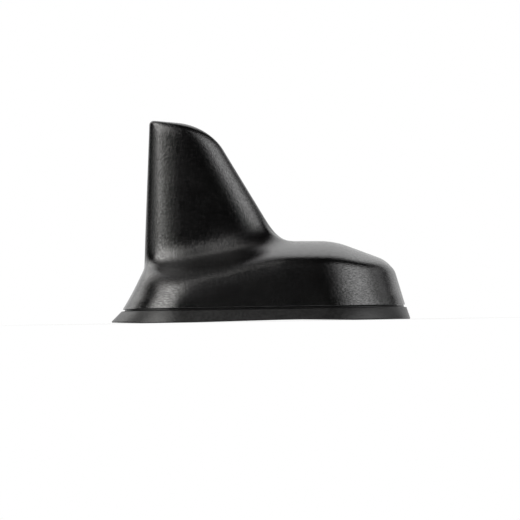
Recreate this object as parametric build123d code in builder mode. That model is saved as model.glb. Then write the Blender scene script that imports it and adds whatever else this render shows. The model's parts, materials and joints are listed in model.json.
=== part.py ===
"""Shark fin roof aerial: a moulded fin cover on a cast base, with a flared rubber gasket under it.

Millimetres and degrees. +X points to the front of the car and +Z up. The origin lies on the
axis of the fixing bolt, in the plane where the free gasket meets the roof.
"""
import math
import os

from build123d import *

os.makedirs("parts", exist_ok=True)

# Plan of the cover's lower rim, measured from the fixing axis
RIM_FRONT = 54.3
RIM_REAR = 51.3
RIM_WIDTH = 57.0
NOSE_LENGTH = 31.0
CORNER_LENGTH = 22.0
TAIL_WIDTH = 12.0

# Lean of the hood's walls, from upright
FRONT_DRAFT = 16.1
REAR_DRAFT = 29.3
SIDE_DRAFT = 13.0

# Ridge of the hood: stations from the rim's front end, slopes from level
HOOD_HEIGHT = 29.8
KNEE_SETBACK = 7.4
BONNET_END_SETBACK = 26.2
BONNET_START_SETBACK = 45.3
NOSE_SLOPE = 47.5
BONNET_SLOPE = 21.1
SADDLE_SLOPE = 1.0
TAIL_SLOPE = 9.0
KNEE_RADIUS = 12.0
BONNET_RADIUS = 30.0
SADDLE_RADIUS = 60.0
CROWN_RADIUS = 45.0
SHOULDER_RADIUS = 6.0

# Fin: its rear edge and its foot are measured at the height of the hood
FIN_HEIGHT = 75.8
FIN_SETBACK = 8.9
FIN_FOOT_LENGTH = 49.9
FIN_LEAN = 3.0
TOP_SLOPE = 6.0
LEAD_SLOPE = 59.6
BROW_RADIUS = 23.3
BROW_PROUD = 0.1
TIP_RADIUS = 1.6
BLEND_RADIUS = 7.0
COVER_WALL = 2.4
RIM_EDGE = 0.5

# Plan of the fin at the base's deck and at its top: flat flanks that round off at both ends
FIN_WIDTH = 20.0
FIN_TAIL_LENGTH = 15.0
FIN_NOSE_LENGTH = 20.0
FIN_TOP_WIDTH = 10.6
FIN_TOP_FLAT = 1.0

# Rubber gasket
GASKET_HEIGHT = 4.6
RIM_GAP = 0.6
LIP_OVERHANG = 0.4
FOOT_FRONT = 1.7
FOOT_REAR = 4.7
FOOT_SIDE = 2.5
FOOT_EDGE = 0.5
GROOVE_WIDTH = 1.4
GROOVE_DEPTH = 1.0
GROOVE_PITCH = 3.0
GROOVE_INSET = 0.6

# Cast base: a flange on the gasket and a tub that reaches down inside it
FLANGE_THICKNESS = 2.5
TUB_INSET = 7.0
TUB_WALL = 2.0
TUB_FLOOR = 2.0
PAD_STANDOFF = 1.0
COLUMN_RADIUS = 4.4
POST_RADIUS = 3.0
BOLT_BOSS_RADIUS = 7.0
BOLT_BOSS_CAP = 1.2

# Seal between cover and base
SEAL_WIDTH = 2.0
SEAL_HEIGHT = 2.0
LEDGE_THICKNESS = 1.5

# Cover screws, driven from below into bosses of the cover
FRONT_SCREW_SETBACK = 15.8
FRONT_SCREW_SPREAD = 17.0
REAR_SCREW_SETBACK = 15.3
REAR_SCREW_SPREAD = 28.0
BOSS_RADIUS = 3.6
COVER_SCREW_RADIUS = 1.5
COVER_SCREW_BITE = 8.0
COVER_HEAD_RADIUS = 2.8
COVER_HEAD_HEIGHT = 2.0
COVER_HEAD_SINK = 3.0
COVER_DRIVE_RADIUS = 1.5
COVER_DRIVE_DEPTH = 1.1

# Threaded bush for the fixing bolt, M6
BUSH_RADIUS = 4.5
BUSH_LENGTH = 7.4
THREAD_RADIUS = 2.5

# Lead grommet and vent in the tub's floor
GROMMET_SETBACK = 17.0
GROMMET_HOLE_RADIUS = 6.0
GROMMET_FLANGE_RADIUS = 7.6
GROMMET_FLANGE = 0.8
LEAD_BORE_RADIUS = 3.5
VENT_RADIUS = 1.0
VENT_PATCH_RADIUS = 4.0
VENT_PATCH_THICKNESS = 0.3

# Main board
BOARD_STANDOFF = 3.0
BOARD_THICKNESS = 1.6
BOARD_INSET = 9.0
BOARD_SCREW_RADIUS = 1.25
BOARD_SCREW_DEPTH = 5.0
BOARD_HEAD_RADIUS = 2.3
BOARD_HEAD_HEIGHT = 1.6
BOARD_DRIVE_RADIUS = 1.2
BOARD_DRIVE_DEPTH = 0.9
POST_INSET = 11.5
REAR_POST_X = -24.0
FRONT_POST_X = 6.0

# Satellite patch on the board, and its amplifier below
PATCH_SIZE = 25.0
PATCH_HEIGHT = 4.0
PATCH_PAD = 0.5
PATCH_CORNER = 0.8
FACE_SIZE = 20.0
FACE_THICKNESS = 0.2
FACE_NOTCH = 2.0
FEED_RADIUS = 0.5
FEED_HEAD_RADIUS = 1.0
FEED_HEAD = 0.4
FEED_OFFSET = 1.8
FEED_TAIL = 0.8
SHIELD_LENGTH = 20.0
SHIELD_WIDTH = 18.0
SHIELD_HEIGHT = 3.0
SHIELD_SHEET = 0.3
SHIELD_LID_SKIRT = 1.8
CHIP_SIZE = 4.0
CHIP_HEIGHT = 0.9
CHIP_SETBACK = 5.0
PASSIVE_LENGTH = 1.6
PASSIVE_WIDTH = 0.8
PASSIVE_HEIGHT = 0.6
PASSIVE_PITCH = 2.8
PASSIVES_PER_SIDE = 4

# Upright radio board in the fin
FIN_BOARD_THICKNESS = 1.0
FIN_BOARD_MARGIN = 1.6
TAB_LENGTH = 5.0
TAB_PITCH = 26.0
RAIL_WIDTH = 1.2
RAIL_DEPTH = 3.6
TRACE_WIDTH = 1.2
TRACE_THICKNESS = 0.1
TRACE_MARGIN = 2.5
TRACE_PITCH = 5.0
TRACE_RUNS = 10

QUARTER_TURN = 90

# Clearances
RIM_FIT = 0.3
TUB_FIT = 0.2
SCREW_FIT = 0.2
HEAD_FIT = 0.4
BOSS_FIT = 0.8
PIN_FIT = 0.1
SLOT_FIT = 0.15
PIECE_GAP = 0.4

# Heights that follow from the sizes above
rim_z = GASKET_HEIGHT + RIM_GAP
deck_z = GASKET_HEIGHT + FLANGE_THICKNESS
floor_z = PAD_STANDOFF + TUB_FLOOR
ledge_z = deck_z + SEAL_HEIGHT
board_z = deck_z + BOARD_STANDOFF
board_top = board_z + BOARD_THICKNESS
head_seat_z = PAD_STANDOFF + COVER_HEAD_SINK

# Stations along the car
wall_inset = COVER_WALL / math.cos(math.radians(SIDE_DRAFT))
fin_back_x = FIN_SETBACK - RIM_REAR
fin_foot_x = fin_back_x + FIN_FOOT_LENGTH
fin_mid_x = (fin_back_x + fin_foot_x) / 2
front_screw_x = RIM_FRONT - FRONT_SCREW_SETBACK
rear_screw_x = REAR_SCREW_SETBACK - RIM_REAR
board_boss_hole = BOSS_RADIUS + BOSS_FIT
patch_x = front_screw_x - board_boss_hole - PIECE_GAP - PATCH_SIZE / 2
fin_board_front = patch_x - PATCH_SIZE / 2 - 2 * PIECE_GAP
post_y = RIM_WIDTH / 2 - POST_INSET
chip_x = patch_x - CHIP_SETBACK
patch_z = board_top + PATCH_PAD
pin_head_z = patch_z + PATCH_HEIGHT + FACE_THICKNESS
lid_grow = SHIELD_SHEET + PIN_FIT
fin_board_inset = COVER_WALL + FIN_BOARD_MARGIN

cover_screw_places = [
    (front_screw_x, -FRONT_SCREW_SPREAD / 2),
    (front_screw_x, FRONT_SCREW_SPREAD / 2),
    (rear_screw_x, -REAR_SCREW_SPREAD / 2),
    (rear_screw_x, REAR_SCREW_SPREAD / 2),
]
tab_places = [
    (fin_mid_x - TAB_PITCH / 2, 0),
    (fin_mid_x + TAB_PITCH / 2, 0),
]
post_places = [
    (FRONT_POST_X, -post_y),
    (FRONT_POST_X, post_y),
    (REAR_POST_X, -post_y),
    (REAR_POST_X, post_y),
]


def run(slope, distance):
    """Rise or fall over a distance at a slope in degrees."""
    return distance * math.tan(math.radians(slope))


def bullet(front, rear, half_width, nose, corner):
    """Plan outline: a half-elliptic nose, straight sides and a blunt tail with elliptic corners."""
    tail = TAIL_WIDTH / 2
    bulge = half_width - tail
    with BuildSketch() as outline:
        with BuildLine():
            Line((-rear, 0), (-rear, tail))
            EllipticalCenterArc((corner - rear, tail), corner, bulge, QUARTER_TURN, arc_size=QUARTER_TURN)
            Line((corner - rear, half_width), (front - nose, half_width))
            EllipticalCenterArc((front - nose, 0), nose, half_width, 0, arc_size=QUARTER_TURN)
            mirror(about=Plane.XZ)
        make_face()
    return outline.sketch


def rim(inset, rise=0.0):
    """The cover's outline a given inset inside the rim, at a rise up its leaning walls."""
    return bullet(
        RIM_FRONT - run(FRONT_DRAFT, rise) - inset,
        RIM_REAR - run(REAR_DRAFT, rise) - inset,
        RIM_WIDTH / 2 - run(SIDE_DRAFT, rise) - inset,
        NOSE_LENGTH - inset,
        CORNER_LENGTH - inset,
    )


def ridge_points(inset):
    """Corners of the hood's ridge, from the tail to the nose, a given inset below the skin."""
    crest = HOOD_HEIGHT - inset
    tail_x = -RIM_REAR - KNEE_SETBACK
    start_x = RIM_FRONT - BONNET_START_SETBACK
    end_x = RIM_FRONT - BONNET_END_SETBACK
    knee_x = RIM_FRONT - KNEE_SETBACK
    nose_x = RIM_FRONT + KNEE_SETBACK
    end_z = crest - run(SADDLE_SLOPE, end_x - start_x)
    knee_z = end_z - run(BONNET_SLOPE, knee_x - end_x)
    nose_z = knee_z - run(NOSE_SLOPE, nose_x - knee_x)
    tail_z = crest - run(TAIL_SLOPE, start_x - tail_x)
    return [(tail_x, tail_z), (start_x, crest), (end_x, end_z), (knee_x, knee_z), (nose_x, nose_z)]


def hood_form(inset):
    """The hood: leaning walls cut by a crowned ridge, with the shoulder between them rounded."""
    top = HOOD_HEIGHT
    side_inset = inset / math.cos(math.radians(SIDE_DRAFT))
    crown_axis_z = HOOD_HEIGHT - CROWN_RADIUS
    with BuildPart() as hood:
        with BuildSketch(Plane.XY.offset(rim_z)):
            add(rim(side_inset))
        with BuildSketch(Plane.XY.offset(rim_z + top)):
            add(rim(side_inset, top))
        loft(ruled=True)
        with BuildSketch(Plane.XZ):
            with BuildLine():
                radii = [SADDLE_RADIUS, BONNET_RADIUS, KNEE_RADIUS - inset]
                ridge = FilletPolyline(*ridge_points(inset), radius=radii)
                nose_foot = ((ridge @ 1).X, crown_axis_z)
                tail_foot = ((ridge @ 0).X, crown_axis_z)
                Polyline(ridge @ 1, nose_foot, tail_foot, ridge @ 0)
            make_face()
        revolve(axis=Axis((0, 0, crown_axis_z), (1, 0, 0)), mode=Mode.INTERSECT)
        fillet(hood.edges(Select.NEW), SHOULDER_RADIUS - inset)
    return hood.part


def fin_rear_x(z, inset):
    """Station of the fin's rear edge at a height, a given inset inside the skin."""
    return fin_back_x + inset + run(FIN_LEAN, z - HOOD_HEIGHT)


def fin_lead_x(z, inset):
    """Station of the leading edge's line at a height, a given inset inside the skin."""
    lead = math.radians(LEAD_SLOPE)
    return fin_foot_x - (z - HOOD_HEIGHT) / math.tan(lead) - inset / math.sin(lead)


def fin_top_z(x, inset):
    """Height of the top edge's line at a station, a given inset inside the skin."""
    return FIN_HEIGHT - run(TOP_SLOPE, x - fin_back_x) - inset / math.cos(math.radians(TOP_SLOPE))


def fin_plan(z, half_width, tail, nose, inset):
    """Plan of the fin at a height: flat flanks that round off into its rear and leading edges."""
    rear, front = fin_rear_x(z, inset), fin_lead_x(z, inset)
    with BuildSketch() as plan:
        with BuildLine():
            EllipticalCenterArc((rear + tail, 0), tail, half_width, QUARTER_TURN, arc_size=QUARTER_TURN)
            Line((rear + tail, half_width), (front - nose, half_width))
            EllipticalCenterArc((front - nose, 0), nose, half_width, 0, arc_size=QUARTER_TURN)
            mirror(about=Plane.XZ)
        make_face()
    return plan.sketch


def fin_side(top_inset, lead_inset):
    """Side view under the fin's top, brow and leading edge, down to the roof."""
    back_x = fin_back_x - FIN_TAIL_LENGTH
    back_z = fin_top_z(back_x, top_inset)
    foot_x = fin_lead_x(0, lead_inset)
    top, lead = math.tan(math.radians(TOP_SLOPE)), math.tan(math.radians(LEAD_SLOPE))
    corner_x = (foot_x * lead - back_x * top - back_z) / (lead - top)
    corner = (corner_x, fin_top_z(corner_x, top_inset))
    with BuildSketch() as side:
        with BuildLine():
            edge = FilletPolyline((back_x, back_z), corner, (foot_x, 0), radius=BROW_RADIUS - top_inset)
            Polyline(edge @ 1, (back_x, 0), edge @ 0)
        make_face()
    return side.sketch


def fin_back(inset):
    """Plane of the fin's rear edge, leaning forward."""
    lean = math.radians(FIN_LEAN)
    return Plane(
        origin=(fin_back_x + inset, 0, HOOD_HEIGHT),
        x_dir=(0, 1, 0),
        z_dir=(-math.cos(lean), 0, math.sin(lean)),
    )


def fin_form(inset):
    """The fin: flanks ruled from its foot to its top, trimmed to the side view, with a round top edge."""
    top_length = fin_lead_x(FIN_HEIGHT, inset) - fin_rear_x(FIN_HEIGHT, inset)
    top_end = (top_length - FIN_TOP_FLAT) / 2
    with BuildPart() as fin:
        with BuildSketch(Plane.XY.offset(deck_z)):
            tail, nose = FIN_TAIL_LENGTH - inset, FIN_NOSE_LENGTH - inset
            add(fin_plan(deck_z, FIN_WIDTH / 2 - inset, tail, nose, inset))
        with BuildSketch(Plane.XY.offset(FIN_HEIGHT)):
            add(fin_plan(FIN_HEIGHT, FIN_TOP_WIDTH / 2 - inset, top_end, top_end, inset))
        loft(ruled=True)
        with BuildSketch(Plane.XZ):
            add(fin_side(inset, inset - BROW_PROUD))
        extrude(amount=FIN_WIDTH, both=True, mode=Mode.INTERSECT)
        if inset == 0:
            fillet(fin.edges(Select.NEW), TIP_RADIUS)
    return fin.part


def gasket_outline(front, rear, side):
    """The gasket's plan, given how far it reaches past the cover's rim."""
    return bullet(
        RIM_FRONT + front,
        RIM_REAR + rear,
        RIM_WIDTH / 2 + side,
        NOSE_LENGTH + front,
        CORNER_LENGTH + rear,
    )


def fin_board_outline(inset):
    """Side view of the upright board: it follows the fin, with an upright front."""
    with BuildSketch() as outline:
        add(fin_side(inset, inset))
        Polygon(
            (fin_rear_x(board_top, inset), board_top),
            (fin_board_front, board_top),
            (fin_board_front, FIN_HEIGHT),
            (fin_rear_x(FIN_HEIGHT, inset), FIN_HEIGHT),
            align=None,
            mode=Mode.INTERSECT,
        )
    return outline.sketch


def meander():
    """Corners of the radiator's line: level runs across the fin, joined at alternate ends."""
    inset = fin_board_inset + TRACE_MARGIN
    first_z = board_top + TRACE_PITCH
    points = []
    for i in range(TRACE_RUNS):
        z = first_z + i * TRACE_PITCH
        rear = (fin_rear_x(z, inset), z)
        front = (min(fin_lead_x(z, inset), fin_board_front - TRACE_MARGIN), z)
        points += [front, rear] if i % 2 == 0 else [rear, front]
    return points


# Outer skin of the cover: hood and fin, joined by a soft blend
with BuildPart() as skin:
    add(hood_form(0))
    add(fin_form(0))
    fillet(skin.edges(Select.NEW), BLEND_RADIUS)
    fillet(skin.faces().sort_by(Axis.Z)[0].edges(), RIM_EDGE)

# Hollow of the cover, which leaves the screw bosses, the seal's ledge and the board rails standing
with BuildPart() as hollow:
    add(hood_form(COVER_WALL))
    add(fin_form(COVER_WALL))
    with BuildSketch(Plane.XY.offset(deck_z)):
        with Locations(*cover_screw_places):
            Circle(BOSS_RADIUS)
    extrude(amount=HOOD_HEIGHT, mode=Mode.SUBTRACT)
    with BuildSketch(Plane.XY.offset(ledge_z)):
        add(rim(0))
        add(rim(wall_inset + RIM_FIT + SEAL_WIDTH, ledge_z - rim_z), mode=Mode.SUBTRACT)
    extrude(amount=LEDGE_THICKNESS, mode=Mode.SUBTRACT)
    with BuildSketch(fin_back(COVER_WALL)):
        rail_place = FIN_BOARD_THICKNESS / 2 + SLOT_FIT + RAIL_WIDTH / 2
        with Locations((-rail_place, 0), (rail_place, 0)):
            Rectangle(RAIL_WIDTH, FIN_HEIGHT - HOOD_HEIGHT, align=(Align.CENTER, Align.MAX))
    extrude(amount=-RAIL_DEPTH, mode=Mode.SUBTRACT)

with BuildPart() as fin_cover:
    add(skin.part)
    add(hollow.part, mode=Mode.SUBTRACT)
    with BuildSketch(Plane.XY.offset(deck_z)):
        with Locations(*cover_screw_places):
            Circle(COVER_SCREW_RADIUS)
    extrude(amount=COVER_SCREW_BITE + PIECE_GAP, mode=Mode.SUBTRACT)


# Rubber gasket: a flared skirt under the cover's rim, with two grooves that leave sealing lips
with BuildPart() as roof_gasket:
    with BuildSketch():
        add(gasket_outline(FOOT_FRONT, FOOT_REAR, FOOT_SIDE))
    extrude(amount=FOOT_EDGE)
    with BuildSketch(Plane.XY.offset(FOOT_EDGE)):
        add(gasket_outline(FOOT_FRONT, FOOT_REAR, FOOT_SIDE))
    with BuildSketch(Plane.XY.offset(GASKET_HEIGHT)):
        add(gasket_outline(LIP_OVERHANG, LIP_OVERHANG, LIP_OVERHANG))
    loft(ruled=True)
    with BuildSketch():
        add(rim(TUB_INSET - TUB_FIT))
    extrude(amount=GASKET_HEIGHT, mode=Mode.SUBTRACT)
    for groove_inset in (GROOVE_INSET, GROOVE_INSET + GROOVE_PITCH):
        with BuildSketch():
            add(rim(groove_inset))
            add(rim(groove_inset + GROOVE_WIDTH), mode=Mode.SUBTRACT)
        extrude(amount=GROOVE_DEPTH, mode=Mode.SUBTRACT)

# Cast base: the flange that the gasket carries, the tub inside it, and the columns, posts and boss
with BuildPart() as base_plate:
    with BuildSketch(Plane.XY.offset(GASKET_HEIGHT)):
        add(rim(wall_inset + RIM_FIT, deck_z - rim_z))
    extrude(amount=FLANGE_THICKNESS)
    with BuildSketch(Plane.XY.offset(PAD_STANDOFF)):
        add(rim(TUB_INSET))
    extrude(amount=deck_z - PAD_STANDOFF)
    with BuildSketch(Plane.XY.offset(floor_z)):
        add(rim(TUB_INSET + TUB_WALL))
    extrude(amount=deck_z - floor_z, mode=Mode.SUBTRACT)
    with BuildSketch(Plane.XY.offset(PAD_STANDOFF)):
        with Locations(*cover_screw_places):
            Circle(COLUMN_RADIUS)
    extrude(amount=deck_z - PAD_STANDOFF)
    with BuildSketch(Plane.XY.offset(floor_z)):
        with Locations(*post_places):
            Circle(POST_RADIUS)
    extrude(amount=board_z - floor_z)
    with BuildSketch(Plane.XY.offset(PAD_STANDOFF)):
        Circle(BOLT_BOSS_RADIUS)
    extrude(amount=BUSH_LENGTH + BOLT_BOSS_CAP)
    with BuildSketch(Plane.XY.offset(PAD_STANDOFF)):
        Circle(BUSH_RADIUS)
    extrude(amount=BUSH_LENGTH, mode=Mode.SUBTRACT)
    with BuildSketch(Plane.XY.offset(PAD_STANDOFF)):
        with Locations(*cover_screw_places):
            Circle(COVER_SCREW_RADIUS + SCREW_FIT)
    extrude(amount=deck_z - PAD_STANDOFF, mode=Mode.SUBTRACT)
    with BuildSketch(Plane.XY.offset(PAD_STANDOFF)):
        with Locations(*cover_screw_places):
            Circle(COVER_HEAD_RADIUS + HEAD_FIT)
    extrude(amount=COVER_HEAD_SINK, mode=Mode.SUBTRACT)
    with BuildSketch(Plane.XY.offset(board_z)):
        with Locations(*post_places):
            Circle(BOARD_SCREW_RADIUS)
    extrude(amount=-BOARD_SCREW_DEPTH - PIECE_GAP, mode=Mode.SUBTRACT)
    with BuildSketch(Plane.XY.offset(PAD_STANDOFF)):
        with Locations((-GROMMET_SETBACK, 0)):
            Circle(GROMMET_HOLE_RADIUS)
        with Locations((patch_x, 0)):
            Circle(VENT_RADIUS)
    extrude(amount=TUB_FLOOR, mode=Mode.SUBTRACT)

# Rubber seal on the flange, pressed by the cover's ledge
with BuildPart() as cover_seal:
    with BuildSketch(Plane.XY.offset(deck_z)):
        add(rim(wall_inset + RIM_FIT, ledge_z - rim_z))
        add(rim(wall_inset + RIM_FIT + SEAL_WIDTH, ledge_z - rim_z), mode=Mode.SUBTRACT)
    extrude(amount=SEAL_HEIGHT)

# Steel bush with the bolt's thread, pressed into the base's boss
with BuildPart() as threaded_bush:
    with BuildSketch(Plane.XY.offset(PAD_STANDOFF)):
        Circle(BUSH_RADIUS)
        Circle(THREAD_RADIUS, mode=Mode.SUBTRACT)
    extrude(amount=BUSH_LENGTH)

# Rubber grommet that grips the tub's floor between two flanges, with a bore for the leads
with BuildPart() as lead_grommet:
    with BuildSketch(Plane.XY.offset(PAD_STANDOFF - GROMMET_FLANGE)):
        with Locations((-GROMMET_SETBACK, 0)):
            Circle(GROMMET_FLANGE_RADIUS)
    extrude(amount=GROMMET_FLANGE)
    with BuildSketch(Plane.XY.offset(PAD_STANDOFF)):
        with Locations((-GROMMET_SETBACK, 0)):
            Circle(GROMMET_HOLE_RADIUS)
    extrude(amount=TUB_FLOOR)
    with BuildSketch(Plane.XY.offset(floor_z)):
        with Locations((-GROMMET_SETBACK, 0)):
            Circle(GROMMET_FLANGE_RADIUS)
    extrude(amount=GROMMET_FLANGE)
    with BuildSketch(Plane.XY.offset(PAD_STANDOFF - GROMMET_FLANGE)):
        with Locations((-GROMMET_SETBACK, 0)):
            Circle(LEAD_BORE_RADIUS)
    extrude(amount=TUB_FLOOR + 2 * GROMMET_FLANGE, mode=Mode.SUBTRACT)

# Breathing film over the vent hole
with BuildPart() as vent_film:
    with BuildSketch(Plane.XY.offset(floor_z)):
        with Locations((patch_x, 0)):
            Circle(VENT_PATCH_RADIUS)
    extrude(amount=VENT_PATCH_THICKNESS)

# Main board on the posts, open round the cover's bosses
with BuildPart() as main_board:
    with BuildSketch(Plane.XY.offset(board_z)):
        add(rim(BOARD_INSET))
        with Locations(*cover_screw_places):
            Circle(board_boss_hole, mode=Mode.SUBTRACT)
        with Locations(*post_places):
            Circle(BOARD_SCREW_RADIUS + SCREW_FIT, mode=Mode.SUBTRACT)
        with Locations((patch_x - FEED_OFFSET, 0)):
            Circle(FEED_RADIUS + PIN_FIT, mode=Mode.SUBTRACT)
        with Locations(*tab_places):
            Rectangle(
                TAB_LENGTH + 2 * SLOT_FIT,
                FIN_BOARD_THICKNESS + 2 * SLOT_FIT,
                mode=Mode.SUBTRACT,
            )
    extrude(amount=BOARD_THICKNESS)

# Screws of the board, from above into the posts
with BuildPart() as board_screws:
    with BuildSketch(Plane.XY.offset(board_z - BOARD_SCREW_DEPTH)):
        with Locations(*post_places):
            Circle(BOARD_SCREW_RADIUS)
    extrude(amount=BOARD_THICKNESS + BOARD_SCREW_DEPTH)
    with BuildSketch(Plane.XY.offset(board_top)):
        with Locations(*post_places):
            Circle(BOARD_HEAD_RADIUS)
    extrude(amount=BOARD_HEAD_HEIGHT)
    with BuildSketch(Plane.XY.offset(board_top + BOARD_HEAD_HEIGHT)):
        with Locations(*post_places):
            RegularPolygon(BOARD_DRIVE_RADIUS, side_count=6)
    extrude(amount=-BOARD_DRIVE_DEPTH, mode=Mode.SUBTRACT)

# Screws of the cover, from below through the base's columns
with BuildPart() as cover_screws:
    with BuildSketch(Plane.XY.offset(head_seat_z)):
        with Locations(*cover_screw_places):
            Circle(COVER_HEAD_RADIUS)
    extrude(amount=-COVER_HEAD_HEIGHT)
    with BuildSketch(Plane.XY.offset(head_seat_z)):
        with Locations(*cover_screw_places):
            Circle(COVER_SCREW_RADIUS)
    extrude(amount=deck_z - head_seat_z + COVER_SCREW_BITE)
    with BuildSketch(Plane.XY.offset(head_seat_z - COVER_HEAD_HEIGHT)):
        with Locations(*cover_screw_places):
            RegularPolygon(COVER_DRIVE_RADIUS, side_count=6)
    extrude(amount=COVER_DRIVE_DEPTH, mode=Mode.SUBTRACT)

# Satellite patch: adhesive pad, ceramic block, silvered face and its feed pin
with BuildPart() as patch_pad:
    with BuildSketch(Plane.XY.offset(board_top)):
        with Locations((patch_x, 0)):
            Rectangle(PATCH_SIZE, PATCH_SIZE)
        with Locations((patch_x - FEED_OFFSET, 0)):
            Circle(FEED_RADIUS + PIN_FIT, mode=Mode.SUBTRACT)
    extrude(amount=PATCH_PAD)

with BuildPart() as patch_ceramic:
    with BuildSketch(Plane.XY.offset(patch_z)):
        with Locations((patch_x, 0)):
            Rectangle(PATCH_SIZE, PATCH_SIZE)
        with Locations((patch_x - FEED_OFFSET, 0)):
            Circle(FEED_RADIUS + PIN_FIT, mode=Mode.SUBTRACT)
    extrude(amount=PATCH_HEIGHT)
    chamfer(patch_ceramic.edges().filter_by(Axis.Z).filter_by(GeomType.LINE), PATCH_CORNER)

with BuildPart() as patch_face:
    with BuildSketch(Plane.XY.offset(patch_z + PATCH_HEIGHT)):
        with Locations((patch_x, 0)):
            Rectangle(FACE_SIZE, FACE_SIZE)
        with Locations((patch_x - FEED_OFFSET, 0)):
            Circle(FEED_RADIUS + PIN_FIT, mode=Mode.SUBTRACT)
    extrude(amount=FACE_THICKNESS)
    corners = patch_face.edges().filter_by(Axis.Z).filter_by(GeomType.LINE)
    chamfer(corners.sort_by(lambda edge: (edge.center().X - patch_x) * edge.center().Y)[-2:], FACE_NOTCH)

with BuildPart() as feed_pin:
    with BuildSketch(Plane.XY.offset(board_z - FEED_TAIL)):
        with Locations((patch_x - FEED_OFFSET, 0)):
            Circle(FEED_RADIUS)
    extrude(amount=pin_head_z - board_z + FEED_TAIL)
    with BuildSketch(Plane.XY.offset(pin_head_z)):
        with Locations((patch_x - FEED_OFFSET, 0)):
            Circle(FEED_HEAD_RADIUS)
    extrude(amount=FEED_HEAD)

# Screening can under the board: a soldered frame and its pressed lid
with BuildPart() as shield_frame:
    with BuildSketch(Plane.XY.offset(board_z - SHIELD_HEIGHT)):
        with Locations((patch_x, 0)):
            Rectangle(SHIELD_LENGTH, SHIELD_WIDTH)
            Rectangle(
                SHIELD_LENGTH - 2 * SHIELD_SHEET,
                SHIELD_WIDTH - 2 * SHIELD_SHEET,
                mode=Mode.SUBTRACT,
            )
    extrude(amount=SHIELD_HEIGHT)

with BuildPart() as shield_lid:
    with BuildSketch(Plane.XY.offset(board_z - SHIELD_HEIGHT - SHIELD_SHEET)):
        with Locations((patch_x, 0)):
            Rectangle(SHIELD_LENGTH + 2 * lid_grow, SHIELD_WIDTH + 2 * lid_grow)
    extrude(amount=SHIELD_SHEET + SHIELD_LID_SKIRT)
    with BuildSketch(Plane.XY.offset(board_z - SHIELD_HEIGHT)):
        with Locations((patch_x, 0)):
            Rectangle(SHIELD_LENGTH + 2 * PIN_FIT, SHIELD_WIDTH + 2 * PIN_FIT)
    extrude(amount=SHIELD_LID_SKIRT, mode=Mode.SUBTRACT)

# Amplifier chip and the small parts beside it, soldered under the board
with BuildPart() as amplifier_chip:
    with BuildSketch(Plane.XY.offset(board_z)):
        with Locations((chip_x, 0)):
            Rectangle(CHIP_SIZE, CHIP_SIZE)
    extrude(amount=-CHIP_HEIGHT)

with BuildPart() as chip_parts:
    with BuildSketch(Plane.XY.offset(board_z)):
        with Locations((chip_x, 0)):
            with GridLocations(PASSIVE_PITCH, CHIP_SIZE + 2 * PASSIVE_LENGTH, PASSIVES_PER_SIDE, 2):
                Rectangle(PASSIVE_WIDTH, PASSIVE_LENGTH)
    extrude(amount=-PASSIVE_HEIGHT)

# Upright radio board: its outline follows the fin from inside, and tabs hold it in the main board
with BuildPart() as fin_board:
    with BuildSketch(Plane.XZ.offset(-FIN_BOARD_THICKNESS / 2)):
        add(fin_board_outline(fin_board_inset))
        for tab_x, tab_y in tab_places:
            with Locations((tab_x, board_z + BOARD_THICKNESS / 2)):
                Rectangle(TAB_LENGTH, BOARD_THICKNESS)
    extrude(amount=FIN_BOARD_THICKNESS)

# Printed radiator: a meander that fills the board's face
with BuildPart() as fin_trace:
    with BuildSketch(Plane.XZ.offset(FIN_BOARD_THICKNESS / 2)):
        with BuildLine():
            Polyline(*meander())
        trace(line_width=TRACE_WIDTH)
    extrude(amount=TRACE_THICKNESS)

pieces = {
    "fin_cover": fin_cover,
    "roof_gasket": roof_gasket,
    "base_plate": base_plate,
    "cover_seal": cover_seal,
    "cover_screws": cover_screws,
    "threaded_bush": threaded_bush,
    "lead_grommet": lead_grommet,
    "vent_film": vent_film,
    "main_board": main_board,
    "board_screws": board_screws,
    "patch_pad": patch_pad,
    "patch_ceramic": patch_ceramic,
    "patch_face": patch_face,
    "feed_pin": feed_pin,
    "shield_frame": shield_frame,
    "shield_lid": shield_lid,
    "amplifier_chip": amplifier_chip,
    "chip_parts": chip_parts,
    "fin_board": fin_board,
    "fin_trace": fin_trace,
}
for name, piece in pieces.items():
    piece.part.label = name
    export_step(piece.part, f"parts/{name}.step")
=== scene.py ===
# %% [markdown]
# # A shark fin roof aerial, dressed for the studio
#
# The aerial is a satin black cover, fin and hood moulded as one, that sits over a flared rubber
# gasket. Boards, a cast base and screws are closed in below it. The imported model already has
# every piece at its real size, so this lesson gives the visible pieces better meshes and gives
# every piece a finish.

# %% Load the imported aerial
import json
import math

import bmesh
import bpy
import numpy as np
from mathutils import Matrix, Vector
from mathutils.bvhtree import BVHTree


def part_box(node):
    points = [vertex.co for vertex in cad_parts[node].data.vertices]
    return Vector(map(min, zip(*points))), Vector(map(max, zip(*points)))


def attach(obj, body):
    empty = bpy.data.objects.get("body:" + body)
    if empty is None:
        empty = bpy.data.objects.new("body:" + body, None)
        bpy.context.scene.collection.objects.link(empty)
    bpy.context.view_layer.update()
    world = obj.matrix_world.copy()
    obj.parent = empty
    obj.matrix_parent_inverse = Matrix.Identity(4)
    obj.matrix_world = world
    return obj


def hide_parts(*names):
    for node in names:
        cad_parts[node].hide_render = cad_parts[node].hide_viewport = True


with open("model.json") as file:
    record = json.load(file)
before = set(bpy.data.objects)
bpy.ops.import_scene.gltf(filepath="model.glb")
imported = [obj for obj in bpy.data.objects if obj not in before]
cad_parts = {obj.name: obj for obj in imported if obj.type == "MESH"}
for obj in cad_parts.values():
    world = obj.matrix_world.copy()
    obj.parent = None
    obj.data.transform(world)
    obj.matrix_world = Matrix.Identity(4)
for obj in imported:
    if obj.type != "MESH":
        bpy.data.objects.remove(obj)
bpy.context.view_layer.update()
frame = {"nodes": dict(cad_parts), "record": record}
MM = 0.001
BODY = "root"

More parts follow.
